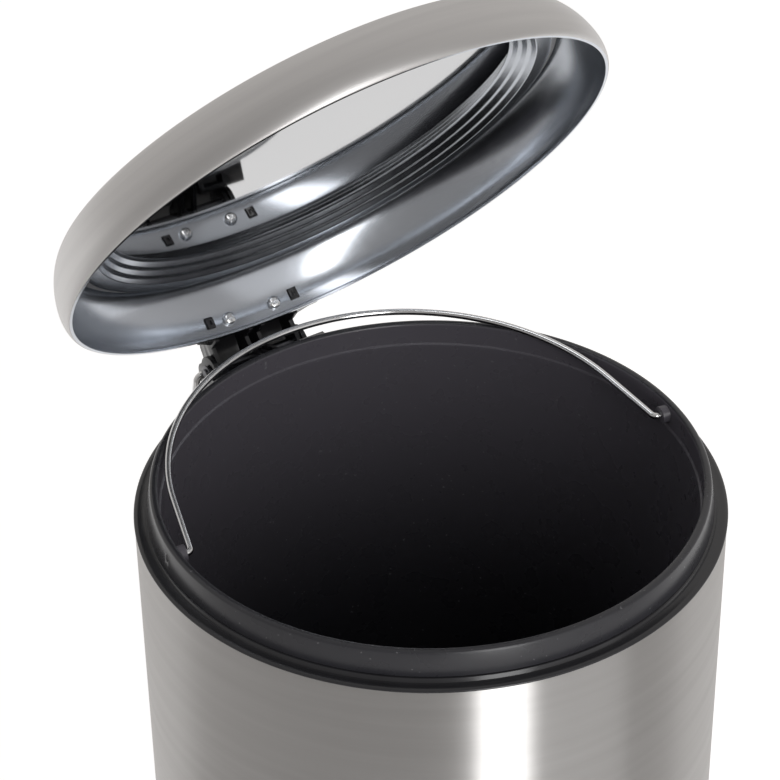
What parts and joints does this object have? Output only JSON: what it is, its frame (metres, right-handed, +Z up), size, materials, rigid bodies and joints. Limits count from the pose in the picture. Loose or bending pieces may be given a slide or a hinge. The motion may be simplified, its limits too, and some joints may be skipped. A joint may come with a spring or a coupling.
{
  "type": "pedal trash can",
  "caption": "Round step can: steel body and domed steel lid, lift-out black bucket with wire bail, and a pedal that lifts the lid through a rod at the back.",
  "frame": {"origin": "on the floor under the middle of the round body", "axes": "+Z up along the body axis, +Y towards the hinge and carry handle at the back, -Y towards the pedal, +X to the right seen from the pedal"},
  "size_m": [0.297, 0.3662, 0.8694],
  "materials": {
    "brushed_steel": "satin brushed round the body",
    "polished_steel": "satin outside, polished inside",
    "black_plastic": "fine matte",
    "bucket_plastic": "satin",
    "rubber": "matte",
    "bright_wire": "bright",
    "zinc": "bright zinc",
    "spring_steel": "dark oiled",
    "white_plastic": "waxy",
    "plated_steel": "dull zinc"
  },
  "bodies": {
    "can": {"body_shell": "brushed_steel", "top_collar": "black_plastic", "base_ring": "black_plastic", "rubber_feet": "rubber", "hinge_base": "black_plastic", "hinge_screws": "zinc", "hinge_pin": "spring_steel", "pin_clips": "spring_steel", "rod_guide": "white_plastic", "axle_bracket": "plated_steel", "axle_screws": "zinc", "pedal_axle": "bright_wire", "axle_clips": "spring_steel"},
    "bucket": {"inner_bucket": "bucket_plastic"},
    "bail": {"bail_handle": "bright_wire"},
    "lid": {"lid_shell": "polished_steel", "lid_bracket": "black_plastic", "lid_screws": "zinc"},
    "rod": {"push_rod": "bright_wire", "rod_top_pin": "zinc", "rod_foot_pin": "zinc"},
    "pedal": {"pedal_lever": "plated_steel", "pedal_pad": "black_plastic", "pedal_tread": "rubber", "pedal_rivets": "zinc"},
    "handle": {"carry_handle": "bright_wire"}
  },
  "joints": [
    {"name": "lid_hinge", "type": "hinge", "parent": "can", "child": "lid", "pos_m": [0, 0.1664, 0.6024], "axis": [-1, 0, 0], "range_deg": [-53.2, 0]},
    {"name": "rod_slide", "type": "slide", "parent": "can", "child": "rod", "axis": [0, 0, 1], "range_m": [-0.02235, 0]},
    {"name": "pedal_hinge", "type": "hinge", "parent": "can", "child": "pedal", "pos_m": [0, -0.03, 0.021], "axis": [1, 0, 0], "range_deg": [-7.51, 0]},
    {"name": "bucket_swivel", "type": "hinge", "parent": "can", "child": "bucket", "pos_m": [0, 0, 0.6187], "axis": [0, 0, 1], "continuous": true},
    {"name": "bail_hinge", "type": "hinge", "parent": "bucket", "child": "bail", "pos_m": [0, 0, 0.6187], "axis": [0.989, -0.1478, 0], "range_deg": [0, 170.2]},
    {"name": "handle_hinge", "type": "hinge", "parent": "can", "child": "handle", "pos_m": [0, 0.1725, 0.598], "axis": [1, 0, 0], "range_deg": [0, 105]}
  ],
  "couplings": [
    {"joint": "rod_slide", "follows": "lid_hinge", "m_per_rad": 0.024062},
    {"joint": "pedal_hinge", "follows": "lid_hinge", "ratio": 0.14113}
  ]
}
